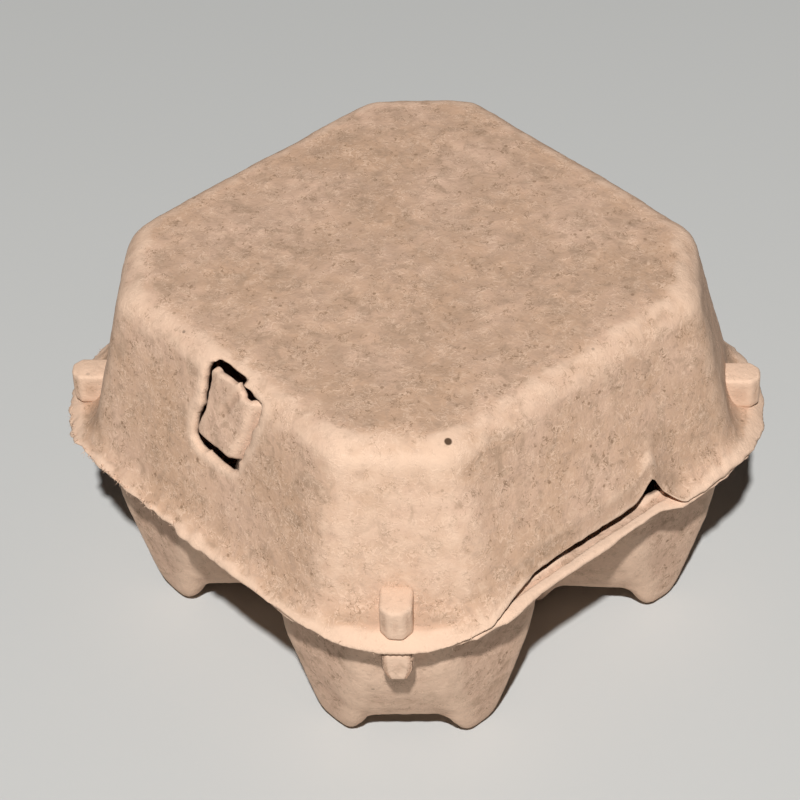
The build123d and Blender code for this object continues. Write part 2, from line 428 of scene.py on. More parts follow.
def finish_piece(piece, bm, body, slot, nodes):
    """Write a modelled piece back in metres, give it its slot's finish, hang it on its body and hide the CAD
    nodes it stands for; with no body it isn't made to ride.
    """
    bm.verts.index_update()
    mark_rubbed_and_painted_light(bm, bpy.context.scene.carton_sizes.flange_corner / MM)
    bmesh.ops.scale(bm, verts=bm.verts, vec=(MM, MM, MM))
    for face in bm.faces:
        face.smooth = True
    bm.to_mesh(piece.data)
    bm.free()
    piece.data.materials.clear()
    piece.data.materials.append(pulp(slot))
    if body:
        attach(piece, body)
    if nodes:
        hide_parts(*nodes)


# --- Lid ---

def roof_half(sizes):
    """Half width of the roof with its rounded edge."""
    return node_box("lid_roof")[1].x + sizes.roof_edge / MM


def wall_lean(sizes):
    """How far the lid's sides come in for each millimetre up."""
    return (WALL_FOOT_HALF - roof_half(sizes)) / (ROOF_TOP - LID_UNDER)


def lid_diagonals(sizes):
    """Half diagonals of the lid at the flange's edge, at the foot of the walls and at the roof."""
    flange = flange_diagonal(sizes.flange_corner / MM)
    roof = (2 * roof_half(sizes) - sizes.roof_chamfer / MM / ROOT_TWO) / ROOT_TWO
    return flange, flange - sizes.corner_shelf / MM, roof


def corner_lean(sizes):
    """How far the lid's corner faces come in for each millimetre up."""
    _, foot, roof = lid_diagonals(sizes)
    return (foot - roof) / (ROOF_TOP - LID_UNDER)


def lid_rings(sizes):
    """Outer face of the lid from the flange's edge up to the roof."""
    flange, foot, _ = lid_diagonals(sizes)
    radius = sizes.roof_edge / MM
    lid_corner = sizes.lid_corner / MM
    lean = wall_lean(sizes)
    diagonal_lean = corner_lean(sizes)

    def wall(height, flare=0.0):
        rise = height - LID_UNDER
        return level(WALL_FOOT_HALF - lean * rise + flare, foot - diagonal_lean * rise + flare,
                     lid_corner, height)

    top = LID_FLANGE_TOP
    rings = [level(FLANGE_HALF, flange, sizes.flange_corner / MM, top),
             level(WALL_FOOT_HALF + 0.9, foot + 1.4, lid_corner + 4, top + 0.05),
             wall(top + 0.5, 0.65), wall(top + 1.2, 0.25), wall(top + WALL_FILLET, 0.05)]
    tangent = ROOF_TOP - radius * (1 - sin(atan(lean)))
    steps = 8
    for step in range(1, steps + 1):
        rings.append(wall(top + WALL_FILLET + (tangent - top - WALL_FILLET) * step / steps))
    last_half, last_diagonal = rings[-1][0], rings[-1][1]
    start = atan(lean)
    arc_steps = 9
    for step in range(1, arc_steps + 1):
        turn = start + (pi / 2 - start) * step / arc_steps
        inwards = radius * (cos(start) - cos(turn))
        height = ROOF_TOP - radius * (1 - sin(turn))
        rings.append(level(last_half - inwards, last_diagonal - inwards,
                           max(lid_corner - inwards, 3), height))
    return rings


def columns(name, back, front, width, flat, low, high):
    """A column with a six-sided plan at each of the four corners, its flat front outwards."""
    bm = bmesh.new()
    middle = (front + back) / 2
    edge_radius = 0.6
    bmesh.ops.create_cube(bm, size=1)
    bmesh.ops.scale(bm, verts=bm.verts, vec=(front - back, width, high - low))
    bmesh.ops.translate(bm, verts=bm.verts, vec=(middle, 0, (high + low) / 2))
    upright = [edge for edge in bm.edges if all(vert.co.x > middle for vert in edge.verts)
               and abs(edge.verts[0].co.z - edge.verts[1].co.z) > 1]
    bmesh.ops.bevel(bm, geom=upright, offset=(width - flat) / 2, offset_type="OFFSET", segments=1,
                    profile=0.5, affect="EDGES", material=-1)
    bmesh.ops.bevel(bm, geom=bm.edges[:], offset=edge_radius, offset_type="OFFSET", segments=3, profile=0.5,
                    affect="EDGES", material=-1)
    long_edges = [edge for edge in bm.edges if edge.calc_length() > 1]
    bmesh.ops.subdivide_edges(bm, edges=long_edges, cuts=7, use_grid_fill=True)
    bmesh.ops.rotate(bm, verts=bm.verts, cent=(0, 0, 0), matrix=Matrix.Rotation(pi / 4, 3, "Z"))
    everything = bm.verts[:] + bm.edges[:] + bm.faces[:]
    bmesh.ops.spin(bm, geom=everything, cent=(0, 0, 0), axis=(0, 0, 1), angle=1.5 * pi, steps=3,
                   use_duplicate=True)
    return oriented_object(name, bm)


def corner_direction(co):
    """Unit vector from the middle towards the corner that a point lies at."""
    return Vector((1 if co.x > 0 else -1, 1 if co.y > 0 else -1, 0)).normalized()


def make_lid_lugs(sizes):
    """Columns on the lid's corner shelves."""
    front = node_box("lid_corner_lugs")[1].x * ROOT_TWO - 0.8
    lean = corner_lean(sizes)
    back = lid_diagonals(sizes)[1] - 0.9
    piece = columns("lid_lug_skin", back, front, LUG_WIDTH, 2.4, LID_FLANGE_TOP - 0.7, LID_LUG_TOP - 0.8)
    bm = open_mesh(piece)
    for vert in bm.verts:
        main = corner_direction(vert.co)
        hidden = 1 - ease(back, (back + front) / 2, vert.co.dot(main))
        vert.co -= main * (hidden * lean * (vert.co.z - LID_FLANGE_TOP))
    roughen(bm, sizes, 3, 0.45)
    return piece, bm


def make_tray_lugs(sizes):
    """Knobs under the tray's flange at the corners, narrower towards their lower ends."""
    taper_height, back_lean = 2.6, 0.14
    front = node_box("tray_corner_lugs")[1].x * ROOT_TWO - 1.6
    back = CELL_OFFSET * ROOT_TWO + 23.7
    low = TRAY_LUG_UNDER + 0.5
    piece = columns("tray_lug_skin", back, front, LUG_WIDTH, 4.4, low, TRAY_UNDER + 0.7)
    bm = open_mesh(piece)
    for vert in bm.verts:
        co = vert.co
        main = corner_direction(co)
        reach = co.dot(main)
        aside = Vector((co.x, co.y, 0)) - main * reach
        hidden = 1 - ease(back, (back + front) / 2, reach)
        reach -= back_lean * max(TRAY_UNDER - co.z, 0) * hidden
        narrow = 0.5 + 0.5 * min(max((co.z - low) / taper_height, 0), 1)
        flat = main * reach + aside * narrow
        drop = sizes.droop * max(outside_walls(co, lid_diagonals(sizes)[1]), 0)
        vert.co = (flat.x, flat.y, co.z - drop * ease(TRAY_UNDER - 4, TRAY_UNDER, co.z))
    roughen(bm, sizes, 4, 0.45)
    return piece, bm


# Edges of the window in the lid's front wall, and of the button that fills it

def window_left(z):
    return BUTTON_LOW.x - 1.8 + 1.5 * ease(0, 6.2, z - BUTTON_LOW.z)


def window_right(z):
    return BUTTON_HIGH.x - 2.9 + 3.9 * (max(z - BUTTON_LOW.z, 0) / (BUTTON_HIGH.z - BUTTON_LOW.z)) ** 0.8


WINDOW_SILL = BUTTON_LOW.z - 2.1
WINDOW_HEAD = BUTTON_HIGH.z + 2.2


def window_top(x):
    """Height of the window's upper edge, which a tongue of pulp narrows at the right."""
    return WINDOW_HEAD - 0.9 * ease(BUTTON_HIGH.x - 4.6, BUTTON_HIGH.x - 3.8, x)


def window_cutter():
    """A block with torn edges, wider at the top, through the front wall."""
    depth, in_front, tear_size, tear_height = 19, 6, 1.8, 0.55
    bm = bmesh.new()
    verts = bmesh.ops.create_grid(bm, x_segments=24, y_segments=24, size=0.5)["verts"]
    for vert in verts:
        across, up = vert.co.x + 0.5, vert.co.y + 0.5
        z = WINDOW_SILL + (WINDOW_HEAD - WINDOW_SILL) * up
        x = window_left(z) + (window_right(z) - window_left(z)) * across
        z = WINDOW_SILL + (window_top(x) - WINDOW_SILL) * up
        rounding = 1.2 * (2 * abs(across - 0.5)) ** 4 * (1 - 2 * up)
        shift_x, shift_z = (ripple(x / tear_size, z / tear_size, seed) for seed in (4.0, 9.0))
        wander = Vector((shift_x, 0, shift_z))
        vert.co = Vector((x, -WALL_FOOT_HALF - in_front, z + rounding)) + tear_height * wander
    made = bmesh.ops.extrude_face_region(bm, geom=bm.faces[:])["geom"]
    moved = [item for item in made if isinstance(item, bmesh.types.BMVert)]
    bmesh.ops.translate(bm, verts=moved, vec=(0, depth, 0))
    return oriented_object("window_cutter", bm)


def sprung(y):
    """How much of the lid's right edge has sprung up at a place along it."""
    return ease(-34, -17, y) * (1 - ease(10.5, 16.5, y))


def spring_lid_edge(bm, sizes):
    """The right edge of the lid has sprung up, folded its flange in and torn at one place."""
    lift, peak = sizes.lifted_edge / MM, sizes.torn_peak / MM
    tear_place, tear_behind, tear_ahead = 10.4, 2.0, 4.6
    for vert in bm.verts:
        co = vert.co
        if co.x < WALL_FOOT_HALF - 12:
            continue
        side = ease(WALL_FOOT_HALF - 11, WALL_FOOT_HALF - 5, co.x)
        along = sprung(co.y)
        fade = 1 - ease(LID_UNDER + 3, LID_UNDER + 22, co.z)
        low = 1 - ease(LID_UNDER + 2.2, LID_UNDER + 10, co.z)
        past = co.y - tear_place
        tear_width = tear_behind if past > 0 else tear_ahead
        tear = peak * low * max(0, 1 - abs(past) / tear_width) ** 1.1
        wander = 0.3 * ripple(co.y / 1.6, 3.0, 1.0) * along * low
        wander += 0.5 * ripple(co.y / 1.1, 5.0, 1.0) * hump(-29, 5, co.y) * low
        wander += 0.4 * ripple(co.y / 1.8, 8.0, 1.0) * hump(25, 9, co.y) * low
        out = max(co.x - (WALL_FOOT_HALF - 0.9), 0)
        vert.co += Vector((-0.82 * out * along, 0, (lift * along * fade + tear + wander) * side))


def open_cup_rim(vert):
    """Where the lid's edge has sprung up, the cups' rims lie further out and leave a narrow lip."""
    co = vert.co
    rim = CELL_OFFSET + CUP_RIM_HALF
    along = ease(-32, -22, co.y) * (1 - ease(14, 19, co.y)) * ease(26, 36, co.z)
    spread = ease(rim - 4.5, rim - 0.5, co.x) * (1 - min(max((co.x - rim - 0.3) / 4.8, 0), 1))
    vert.co.x += 2.9 * along * spread


def settle_flange(bm, sizes, is_lid):
    """Slope a flange down outwards, thin its lip and let it wave, but keep it level along the hinge."""
    diagonal = lid_diagonals(sizes)[1]
    corner = sizes.flange_corner / MM
    low, high = (LID_UNDER, LID_FLANGE_TOP) if is_lid else (TRAY_UNDER, CLOSING_FACE)
    pressed = low if is_lid else high
    for vert in bm.verts:
        co = vert.co
        out = outside_walls(co, diagonal)
        keep = ease(low - 4, low - 0.5, co.z) * (1 - ease(high + 0.6, high + 3, co.z))
        if not is_lid and co.x > RIGHT_SIDE:
            open_cup_rim(vert)
        if out < -1.5 or keep <= 0:
            continue
        hinged = along_hinge(co)
        lip = ease(-2.6, -0.2, flange_edge(co, corner)) * (1 - hinged)
        co.z += 0.45 * lip * (pressed - co.z)
        wave = 0.35 * ripple(co.x / 17, co.y / 17, 2.0) * ease(0, 2, out)
        wave *= 1 - hinged
        fall = sizes.droop * (1 - hinged)
        if not is_lid:
            held = sprung(co.y) * ease(RIGHT_SIDE, RIGHT_SIDE + 6, co.x)
            fall *= 1 - held
            wave += 0.5 * held
            beyond = max(flange_edge(co, corner) + 3.0, 0) / 3.0
            outwards = Vector((co.x, co.y, 0)).normalized()
            # the tray's edge lies inside the lid's, except on the right where it shows
            hidden = TRAY_INSET * (1 - ease(30, 45, co.x) * ease(-40, -24, co.y)) * (1 - hinged)
            vert.co -= outwards * beyond * (hidden + 1.2 * held)
        vert.co.z += (wave - fall * max(out + 0.4, 0)) * keep


def bow_walls(bm):
    """Small bows and dents that keep the lid from looking machined."""
    for vert in bm.verts:
        co = vert.co
        high = ease(ROOF_TOP - 9, ROOF_TOP - 1, co.z)
        crown = 0.9 * (1 - min((co.x ** 2 + co.y ** 2) / 2500, 1)) * high
        crown += 0.7 * exp(-((co.x + 33) ** 2 + (co.y - 33) ** 2) / 300) * high
        sag = -0.5 * hump(12, 12, co.x) * hump(-31, 12, co.y) * high
        vert.co.z += crown + sag
        bow = 0.5 * hump(0, 26, co.x) * hump(55, 12, co.z)
        vert.co.y += bow * (1 if co.y < -30 else -1 if co.y > 30 else 0)


def make_lid(sizes):
    """Roof, walls and flange as one skin."""
    bm = bmesh.new()
    loft(bm, lid_rings(sizes), FLANGE_STEPS, cap_last=True)
    point_outwards(bm)
    shell = to_object("lid_shell", bm)
    thicken(shell, sizes.pulp / MM)
    cut(shell, window_cutter())
    skin = one_skin("lid_skin", [shell], sizes.lid_grid / MM)
    bm = open_mesh(skin)
    relax(bm, 1)
    settle_flange(bm, sizes, True)
    spring_lid_edge(bm, sizes)
    bow_walls(bm)
    fray(bm, sizes, 1)
    roughen(bm, sizes, 1)
    return skin, bm


# --- Tray ---

def cup_rings():
    """Outer face of a cup from its lip down to the middle of its base."""
    rim = CUP_RIM_HALF
    top = CLOSING_FACE
    return [(rim + 1.5, 26.4, 6, top - 0.1, top - 0.1), (rim + 0.4, 25.1, 6, top - 1.1, top - 1.1),
            (rim - 0.2, 24.4, 6, top - 4, top - 4), (21.9, 22.3, 6, 21, 21),
            (20.8, 19.8, 6, 12, 13.0), (20.2, 18.4, 5, 7.5, 10.0), (19.5, 17.4, 5, 3.6, 8.1),
            (18.4, 16.8, 5, 1.1, 7.1), (16.6, 15.9, 5, 0.0, 6.7), (14.0, 14.0, 5, 0.9, 6.8),
            (11.0, 11.4, 4, 4.4, 7.0), (7.4, 8.0, 3, 6.9, 7.3), (1.2, 1.2, 0.5, 7.4, 7.4)]


def cup_piece(name, middle, sizes):
    """One cup with its four hollow feet."""
    bm = bmesh.new()
    loft(bm, between(cup_rings(), 4), CUP_STEPS, middle, cap_last=True)
    point_outwards(bm, -1)
    piece = to_object(name, bm)
    thicken(piece, sizes.pulp / MM)
    return piece


def cell_middles():
    return [(x, y) for x in (-CELL_OFFSET, CELL_OFFSET) for y in (-CELL_OFFSET, CELL_OFFSET)]


def tray_plate(sizes):
    """Flange and deck in one plate, open over the cups and under the post."""
    corner = sizes.flange_corner / MM
    low, high = TRAY_UNDER - DECK_ROOM, CLOSING_FACE + DECK_ROOM
    plate = prism("tray_plate", (FLANGE_HALF, flange_diagonal(corner), corner), TRAY_UNDER, CLOSING_FACE,
                  FLANGE_STEPS)
    for middle in cell_middles():
        cut(plate, prism("cup_cutter", (CUP_RIM_HALF - 0.6, 24.0, 6), low, high, CUP_HOLE_STEPS, middle))
    cut(plate, prism("post_cutter", (6.4, 4.9, 1), low, high, POST_HOLE_STEPS))
    return plate


def post_piece(sizes):
    """The hollow post between the cups."""
    bm = bmesh.new()
    rings = [level(9.6, 7.4, 2, TRAY_UNDER + 0.2), level(8.6, 6.6, 2, CLOSING_FACE + 1),
             level(7.4, 5.6, 2, CLOSING_FACE + 6), level(5.9, 4.6, 2, POST_TOP - 2),
             level(4.9, 3.8, 1.6, POST_TOP - 0.5), level(3.2, 2.6, 1, POST_TOP)]
    loft(bm, between(rings, 3), POST_STEPS, cap_last=True)
    point_outwards(bm)
    piece = to_object("post", bm)
    thicken(piece, sizes.pulp / MM)
    return piece


def make_tray(sizes):
    """Cups, deck, post and flange as one skin."""
    pieces = [tray_plate(sizes), post_piece(sizes)]
    for number, middle in enumerate(cell_middles()):
        pieces.append(cup_piece("cup_%d" % number, middle, sizes))
    skin = one_skin("tray_skin", pieces, sizes.tray_grid / MM)
    bm = open_mesh(skin)
    relax(bm, 2)
    settle_flange(bm, sizes, False)
    fray(bm, sizes, 2)
    roughen(bm, sizes, 2)
    return skin, bm


# --- Lock ---

def crumple(x, z):
    """Height of the button's dents and creases."""
    high = z - BUTTON_LOW.z
    height = 0.5 * ripple(x / 5.0, z / 5.5, 1.3)
    height -= 0.5 * hump(0, 0.9, x - BUTTON_LOW.x - 2.6 + 0.5 * (15 - high)) * ease(8, 11, high)
    height -= 0.6 * hump(0, 0.7, x - BUTTON_LOW.x - 6.2 - 0.6 * (high - 8.8)) * ease(7, 9, high)
    return height + 0.4 * hump(BUTTON_HIGH.x - 7, 2.2, x) * hump(5, 3.5, high)


def button_edge(place, seed):
    """Small tears along the button's edges."""
    return 0.2 * ripple(place / 1.2, seed, 7.7)


def button_top(x):
    """Height of the button's upper edge, rounded at the left, with one bridge to the window's edge."""
    gap = 0.7 - 0.25 * ease(-2, 4, x) + 0.7 * ease(5.3, 6.0, x) - 0.8 * hump(4.9, 0.35, x)
    left = 2.0 * (1 - ease(0, 3.0, x - window_left(WINDOW_HEAD))) ** 1.5
    return window_top(x) - gap - left


def lock_sheet(columns_across, rows, place):
    """A sheet on the front wall's inner side; place gives x, z and how far it stands out."""
    bm = bmesh.new()
    verts = bmesh.ops.create_grid(bm, x_segments=columns_across, y_segments=rows, size=0.5)["verts"]
    for vert in verts:
        vert.co = place(vert.co.x + 0.5, vert.co.y + 0.5)
    return bm


def make_lock(sizes):
    """Tongue and crumpled button that lean with the front wall."""
    lean = wall_lean(sizes)
    slope = sqrt(1 + lean * lean)
    sheet_thickness = sizes.pulp / MM * 0.8
    behind = sizes.pulp / MM / slope + 0.4
    foot = TONGUE_AXIS.z - 0.3

    def on_wall(x, z, stand):
        return Vector((x, -WALL_FOOT_HALF + lean * (z - LID_UNDER) + (behind - stand) * slope, z))

    def tongue(across, up):
        side = across * 2 - 1
        z = foot + (TONGUE_HIGH.z - 0.3 - foot) * up
        wide = TONGUE_HIGH.x - 5.0 * up - 3.5 * ease(0.8, 1.0, up) * abs(side) ** 6
        return on_wall(side * wide, z, 0)

    def button(across, up):
        z = WINDOW_SILL + (WINDOW_HEAD - WINDOW_SILL) * up
        left = window_left(z) + 0.75 + button_edge(z, 1.0)
        x = left + (window_right(z) + 2.2 - left) * across
        bottom = WINDOW_SILL + 2.3 + button_edge(x, 2.0)
        z = bottom + (button_top(x) + button_edge(x, 3.0) - bottom) * up
        rim = 0.9 * ease(1.0, 0, x - left) + 0.8 * ease(1.2, 0, z - bottom)
        turned_in = ease(-2.6, 0.4, x - window_right(z))
        stand = (behind - 0.2 + crumple(x, z) - rim) * (1 - turned_in)
        return on_wall(x, z, stand)

    sheets = []
    for name, across, up, place in (("tongue", 120, 90, tongue), ("button", 60, 60, button)):
        bm = lock_sheet(across, up, place)
        if name == "tongue":
            hole = []
            for face in bm.faces:
                middle = face.calc_center_median()
                right = window_right(max(middle.z, BUTTON_LOW.z)) + 0.7
                right += 2.5 * (middle.z < BUTTON_LOW.z)
                if window_left(middle.z) - 1.8 < middle.x < right and middle.z > WINDOW_SILL - 2:
                    hole.append(face)
            bmesh.ops.delete(bm, geom=hole, context="FACES")
        bm.normal_update()
        if sum(face.normal.y for face in bm.faces) > 0:
            bmesh.ops.reverse_faces(bm, faces=bm.faces)
        sheets.append(to_object(name, bm))
        thicken(sheets[-1], sheet_thickness, even=False)
    skin = one_skin("lock_skin", sheets, sizes.lock_grid / MM)
    bm = open_mesh(skin)
    relax(bm, 1)
    roughen(bm, sizes, 5, 0.6)
    return skin, bm


# --- Folds ---

def strip(name, length_x, sections, thickness):
    """A sheet along X whose cross-section runs through the given points."""
    bm = bmesh.new()
    steps = 40
    first = [bm.verts.new((length_x * (step / steps - 0.5), sections[0][0], sections[0][1]))
             for step in range(steps + 1)]
    edges = [bm.edges.new(pair) for pair in zip(first, first[1:])]
    for y, z in sections[1:]:
        verts, edges = extrude_line(bm, edges)
        for vert in verts:
            vert.co.y, vert.co.z = y, z
    piece = oriented_object(name, bm)
    wall = piece.modifiers.new("wall", "SOLIDIFY")
    wall.thickness = thickness
    wall.offset = 0
    bake(piece)
    return piece


def make_rear_web():
    """The living hinge: pulp that runs from one flange round to the other behind the carton."""
    overlap, thickness, arc_steps = 0.9, 0.9, 8
    edge = FLANGE_HALF - overlap
    low, high = TRAY_UNDER + 0.55, LID_FLANGE_TOP - 0.75
    middle, spread = (low + high) / 2, (high - low) / 2
    sections = [(edge, low)]
    for step in range(arc_steps + 1):
        turn = pi * step / arc_steps
        sections.append((HINGE_AXIS.y - 0.35 + 0.75 * sin(turn), middle - spread * cos(turn)))
    sections.append((edge, high))
    return strip("rear_web", HINGE_HIGH.x - HINGE_LOW.x, sections, thickness)


def make_tongue_fold():
    """The fold that joins the tongue to the tray's flange."""
    y, z = TONGUE_AXIS.y, TONGUE_AXIS.z
    sections = [(y - 1.6, CLOSING_FACE - 0.5), (y - 0.9, CLOSING_FACE + 0.1), (y - 0.25, z - 0.3),
                (y, z + 0.5), (y + 0.35, z + 1.6)]
    return strip("tongue_fold_web", TONGUE_HIGH.x * 2 - 1, sections, 1.3)


# --- Loose fibres ---

def fibre(bm, start, direction, reach, thickness, draw):
    """One thin curled fibre with three sides that tapers towards its end."""
    steps, taper = 4, 0.75
    ring = bmesh.ops.create_circle(bm, cap_ends=True, segments=3, radius=thickness)["verts"]
    turn = direction.to_track_quat("Z", "Y").to_matrix()
    bmesh.ops.transform(bm, matrix=Matrix.Translation(start) @ turn.to_4x4(), verts=ring)
    edges = list({edge for vert in ring for edge in vert.link_edges})
    bend = Vector((draw.uniform(-1, 1), draw.uniform(-1, 1), draw.uniform(-1, 0.6)))
    place = Vector(start)
    for step in range(1, steps + 1):
        verts, edges = extrude_line(bm, edges)
        heading = (direction + bend * step / steps).normalized()
        move = heading * reach / steps
        place = place + move
        bmesh.ops.translate(bm, verts=verts, vec=move)
        bmesh.ops.scale(bm, verts=verts, vec=(taper, taper, taper), space=Matrix.Translation(-place))
    bmesh.ops.contextual_create(bm, geom=edges)


def make_fibres(name, edge_z, inset, count, seed, sizes):
    """Fibres along a flange's edge, most of them at the front left, none where it has sprung up."""
    draw = random.Random(seed)
    corner = sizes.flange_corner / MM
    diagonal = flange_diagonal(corner)
    front_left, spread = -2.2, 0.35
    bm = bmesh.new()
    for _ in range(count):
        angle = draw.choice([draw.uniform(-pi, pi), draw.gauss(front_left, spread),
                             draw.gauss(front_left, spread)])
        reach = octagon_reach(angle, FLANGE_HALF, diagonal, corner) - inset - draw.uniform(0.3, 1.0)
        out = Vector((cos(angle), sin(angle), 0))
        start = out * reach
        if start.x > RIGHT_SIDE and sprung(start.y) > 0:
            continue
        drop = sizes.droop * max(outside_walls(start, lid_diagonals(sizes)[1]) + 0.4, 0)
        start.z = edge_z - drop + draw.uniform(-0.7, 0.3)
        side = Vector((-out.y, out.x, 0))
        direction = (out * draw.uniform(0.2, 0.7) + side * draw.uniform(-1.4, 1.4)
                     + Vector((0, 0, draw.uniform(-0.7, 0.3)))).normalized()
        fibre(bm, start, direction, draw.uniform(0.5, 1.2), draw.uniform(0.05, 0.10), draw)
    return oriented_object(name, bm)


# --- Shader maths ---

class Value:
    """A shader socket that can be used in sums."""

    def __init__(self, finish, socket):
        self.finish = finish
        self.socket = socket

    def maths(self, operation, *others):
        inputs = dict(enumerate((self,) + others))
        return self.finish.node("ShaderNodeMath", {"operation": operation}, inputs)

    def __add__(self, other):
        return self.maths("ADD", other)

    def __sub__(self, other):
        return self.maths("SUBTRACT", other)

    def __mul__(self, other):
        return self.maths("MULTIPLY", other)

    def size(self):
        return self.maths("ABSOLUTE")

    def least(self, other):
        return self.maths("MINIMUM", other)

    def step(self, low, high):
        """Smooth step from low to high."""
        return self.finish.node("ShaderNodeMapRange", {"interpolation_type": "SMOOTHSTEP"},
                                {"Value": self, "From Min": low, "From Max": high})


class Finish:
    """Builds one material."""

    def __init__(self, name):
        self.material = bpy.data.materials.new(name)
        self.material.use_nodes = True
        self.tree = self.material.node_tree
        self.tree.nodes.clear()

    def fill(self, socket, value):
        """Link a value to a socket, or set a plain one."""
        if isinstance(value, Value):
            self.tree.links.new(value.socket, socket)
        else:
            socket.default_value = value

    def node(self, kind, settings=None, inputs=None, output=0):
        """Add a node, set it up, then fill its sockets with values or links."""
        made = self.tree.nodes.new(kind)
        for name, value in (settings or {}).items():
            setattr(made, name, value)
        for name, value in (inputs or {}).items():
            self.fill(made.inputs[name], value)
        return Value(self, made.outputs[output]) if made.outputs else None

    def mix(self, amount, first, second):
        """Mix two colours."""
        made = self.tree.nodes.new("ShaderNodeMix")
        made.data_type = "RGBA"
        sockets = {s.name + s.type: s for s in made.inputs}
        self.fill(made.inputs[0], amount)
        self.fill(sockets["ARGBA"], first)
        self.fill(sockets["BRGBA"], second)
        return Value(self, next(s for s in made.outputs if s.type == "RGBA"))

    def noise(self, place, per_metre, detail=2.0, rough=0.5, warp=0.0):
        return self.node("ShaderNodeTexNoise", None, {"Vector": place, "Scale": per_metre, "Detail": detail,
                                                      "Roughness": rough, "Distortion": warp})

    def threads(self, place, per_metre, width, warp):
        """Thin winding lines, 1 on a line and 0 away from it."""
        return (self.noise(place, per_metre, 1.5, 0.5, warp) - 0.5).size().step(width, width / 6)

    def specks(self, place, per_metre, radius, rarity):
        """Round specks in the few cells whose chance is above rarity."""
        inputs = {"Vector": place, "Scale": per_metre}
        near = self.node("ShaderNodeTexVoronoi", None, inputs)
        cell = self.node("ShaderNodeTexVoronoi", None, inputs, output=1)
        chance = self.node("ShaderNodeSeparateColor", None, {"Color": cell})
        return near.step(radius * 1.8, radius) * chance.step(rarity, rarity + 0.01)

    def surface(self, inputs):
        """Feed a principled shader and return the finished material."""
        shader = self.node("ShaderNodeBsdfPrincipled", None, inputs)
        self.node("ShaderNodeOutputMaterial", None, {"Surface": shader})
        return self.material


def rgba(colour_value, scale=1.0):
    return (*[min(part * scale, 1) for part in colour_value], 1)


def pulp_finish(name, colours, warmth):
    """Moulded paper pulp: mottled tan with fibres and specks, plus painted light: pale ridges, lips and
    corner faces, partly rubbed wear, and painted shade in hollows and on the roof.

    A noise takes its place, its repeats per metre, its detail, its roughness and its warp.
    """
    finish = Finish(name)
    place = finish.node("ShaderNodeTexCoord", output=3)
    slow = finish.noise(place, 55, 3, 0.6)
    blotch = finish.noise(place, 230, 4, 0.65, 0.8)
    mottle = finish.noise(place, 620, 3, 0.6, 0.6)
    fine = finish.noise(place, 1500, 3, 0.6)
    tone = finish.mix((slow * 0.8 + mottle * 0.5 + (warmth - 0.15)).step(0.36, 0.68),
                      rgba(colours.pulp), rgba(colours.pink))
    tone = finish.mix(blotch.step(0.50, 0.68) * 0.7, tone, rgba(colours.grey))
    tone = finish.mix(mottle.step(0.52, 0.70) * 0.45, tone, rgba(colours.grey, 0.92))
    tone = finish.mix(mottle.step(0.48, 0.34) * 0.35, tone, rgba(colours.pale))
    pale = finish.threads(place, 620, 0.045, 0.9) * finish.noise(place, 260, 2).step(0.46, 0.58)
    pale = pale + finish.threads(place, 1050, 0.045, 1.0) * finish.noise(place, 340, 2).step(0.50, 0.60)
    tone = finish.mix(pale.least(1) * 0.5, tone, rgba(colours.pale, 1.06))
    dark = finish.threads(place, 800, 0.036, 1.0) * finish.noise(place, 400, 2, 0.5, 0.5).step(0.53, 0.62)
    dark = dark + finish.threads(place, 1250, 0.04, 0.9) * finish.noise(place, 520, 2).step(0.57, 0.66)
    tone = finish.mix(dark.least(1) * 0.75, tone, rgba(colours.brown))
    tone = finish.mix(finish.specks(place, 170, 0.045, 0.90), tone, rgba(colours.speck))
    tone = finish.mix(finish.specks(place, 420, 0.10, 0.84) * 0.7, tone, rgba(colours.brown))
    # painted light and wear: the pale colour where the mark is high (ridges and lips, partly rubbed wear;
    # corner faces as lit), a darker grey as painted shade in hollows and on the roof
    rubbed_and_painted_light = finish.node("ShaderNodeAttribute", {"attribute_name": "rubbed_and_painted_light"}, output=2)
    tone = finish.mix(rubbed_and_painted_light.step(0.0, 1.0) * 0.75, tone, rgba(colours.pale))
    tone = finish.mix(rubbed_and_painted_light.step(0.0, -1.0) * 0.5, tone, rgba(colours.grey, 0.8))
    for spot, radius in LID_SPECKS:
        away = finish.node("ShaderNodeVectorMath", {"operation": "DISTANCE"},
                           {0: place, 1: [part * MM for part in spot]}, output=1)
        tone = finish.mix(away.step(radius * MM, radius * 0.7 * MM), tone, rgba(colours.speck, 1.5))
    height = fine * 0.4 + mottle * 0.5 + pale * 0.1
    bump = finish.node("ShaderNodeBump", None, {"Strength": 0.6, "Distance": 0.0004, "Height": height})
    return finish.surface({"Base Color": tone, "Roughness": 0.93, "Specular IOR Level": 0.2,
                           "Normal": bump})


def floor_finish(colours):
    """A plain pale floor with the faintest unevenness."""
    finish = Finish("pale_floor")
    place = finish.node("ShaderNodeTexCoord", output=3)
    cloud = finish.noise(place, 6, 2)
    tone = finish.mix(cloud.step(0.3, 0.7) * 0.12, rgba(colours.floor), rgba(colours.floor, 0.94))
    return finish.surface({"Base Color": tone, "Roughness": 0.9, "Specular IOR Level": 0.1})


# --- Stage ---

def make_floor(colours):
    bm = bmesh.new()
    reach = 3
    bmesh.ops.create_grid(bm, x_segments=8, y_segments=8, size=reach)
    floor = to_object("floor", bm)
    floor.data.materials.append(floor_finish(colours))


def area_light(name, place, target, size, power):
    """A round light that points at a target."""
    light = bpy.data.lights.new(name, "AREA")
    light.shape = "DISK"
    light.size = size
    light.energy = power
    lamp = bpy.data.objects.new(name, light)
    lamp.location = place
    lamp.rotation_euler = (Vector(target) - Vector(place)).to_track_quat("-Z", "Y").to_euler()
    bpy.context.scene.collection.objects.link(lamp)


